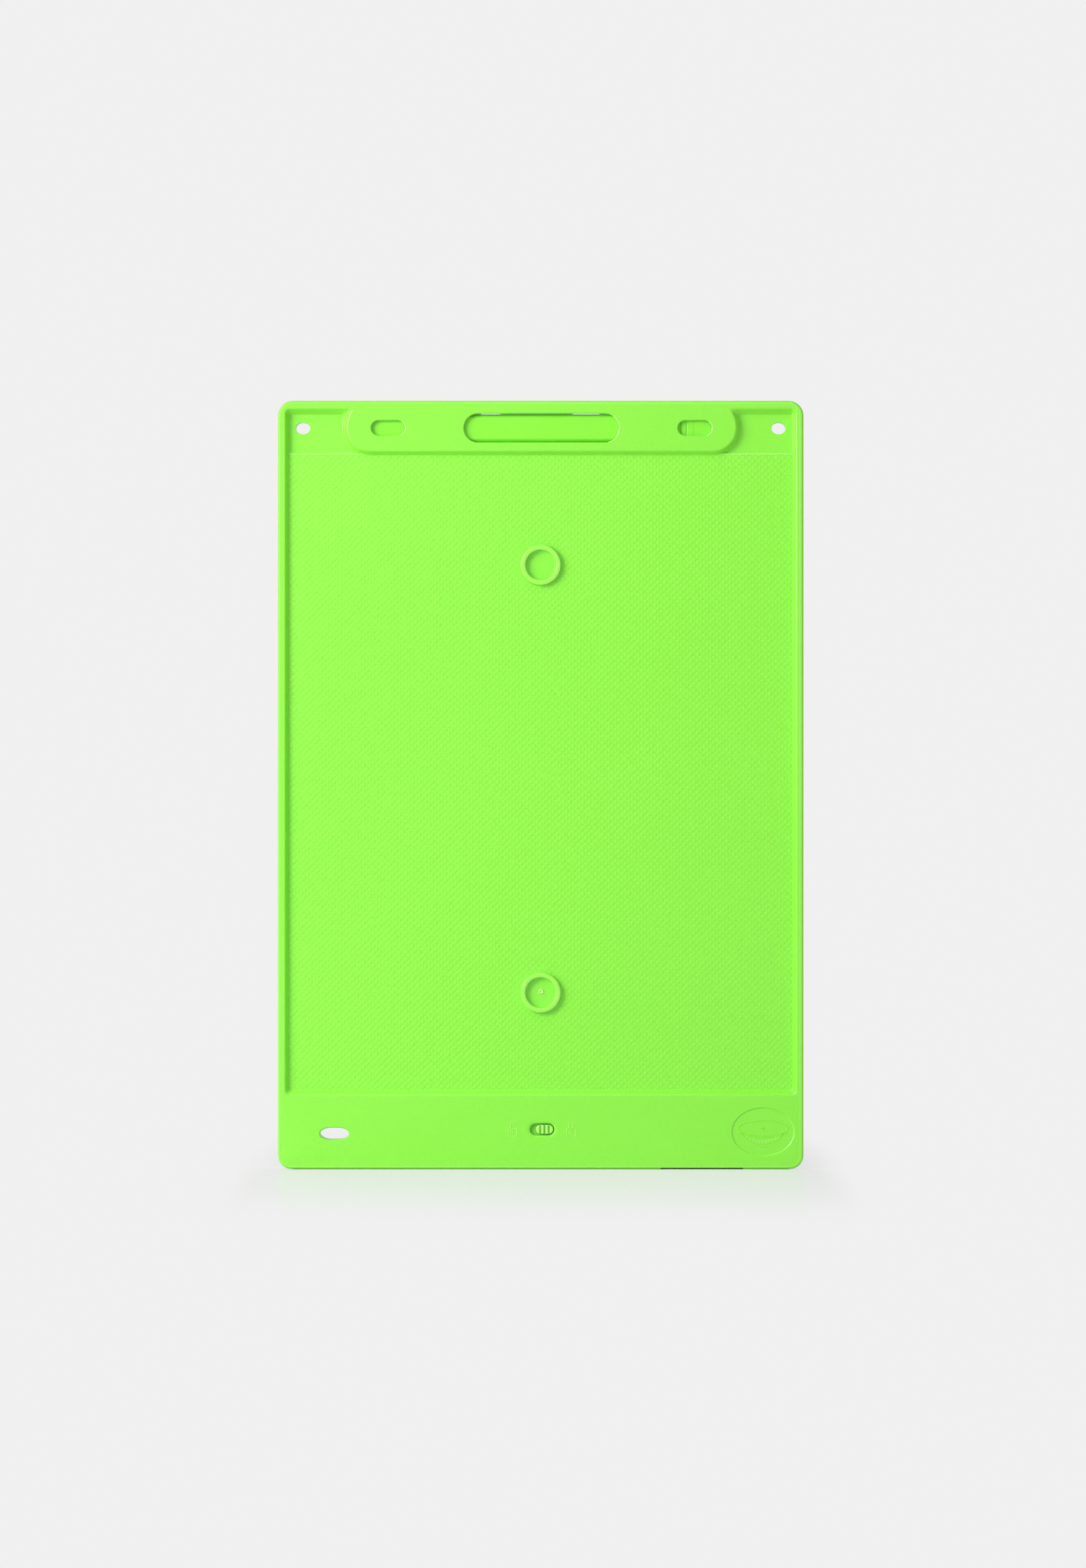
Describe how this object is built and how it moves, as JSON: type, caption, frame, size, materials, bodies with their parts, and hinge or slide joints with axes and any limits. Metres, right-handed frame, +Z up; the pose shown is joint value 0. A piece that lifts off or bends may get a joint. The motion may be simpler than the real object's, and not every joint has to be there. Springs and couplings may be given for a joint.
{
  "type": "lcd writing tablet",
  "caption": "Thin upright writing slate with a ribbed plastic back, a dark writing film, a stylus in a rear windowed channel, a lock slider, an erase button and a coin cell tray.",
  "frame": {"origin": "middle of the bottom edge, on the plane that the tablet stands on, halfway through its thickness with the erase button", "axes": "+Z up along the tall side, +X to the right when the ribbed back is looked at, +Y out of the writing film at the front, -Y out of the back"},
  "size_m": [0.17, 0.006, 0.2485],
  "materials": {
    "green_shell": "fine moulded grain",
    "green_gloss": "smooth satin",
    "writing_film": "glossy dark film",
    "black_plastic": "matte",
    "tape": "matte",
    "laminate": "satin solder mask",
    "ribbon": "satin",
    "steel": "brushed",
    "ferrite": "matte",
    "ceramic": "satin"
  },
  "bodies": {
    "case": {"back_cover": "green_shell", "front_bezel": "green_shell", "lcd_film": "writing_film", "backing_board": "black_plastic", "lcd_flex": "ribbon", "film_tape_left": "tape", "film_tape_right": "tape", "film_tape_bottom": "tape", "film_tape_top": "tape", "circuit_board": "laminate", "slide_switch_body": "steel", "tact_switch_body": "steel", "controller_chip": "black_plastic", "boost_inductor": "ferrite", "rectifier_diode": "black_plastic", "storage_capacitor": "ceramic", "timing_resistor": "black_plastic", "battery_contact_negative": "steel", "battery_contact_positive": "steel"},
    "lock": {"lock_slider": "green_gloss", "slide_switch_lever": "black_plastic"},
    "erase": {"erase_button": "green_gloss", "tact_switch_plunger": "black_plastic"},
    "battery": {"battery_tray": "green_gloss", "coin_cell": "steel"},
    "stylus": {"stylus_barrel": "green_gloss", "stylus_nose": "green_gloss", "stylus_nib": "black_plastic"}
  },
  "joints": [
    {"name": "lock_slide", "type": "slide", "parent": "case", "child": "lock", "axis": [1, 0, 0], "range_m": [-0.0016, 0]},
    {"name": "erase_press", "type": "slide", "parent": "case", "child": "erase", "axis": [0, -1, 0], "range_m": [0, 0.0003], "stiffness_N_per_m": 1500},
    {"name": "tray_slide", "type": "slide", "parent": "case", "child": "battery", "axis": [0, 0, -1], "range_m": [0, 0.024]},
    {"name": "stylus_lift", "type": "slide", "parent": "case", "child": "stylus", "axis": [0, 1, 0], "range_m": [0, 0.015]}
  ]
}
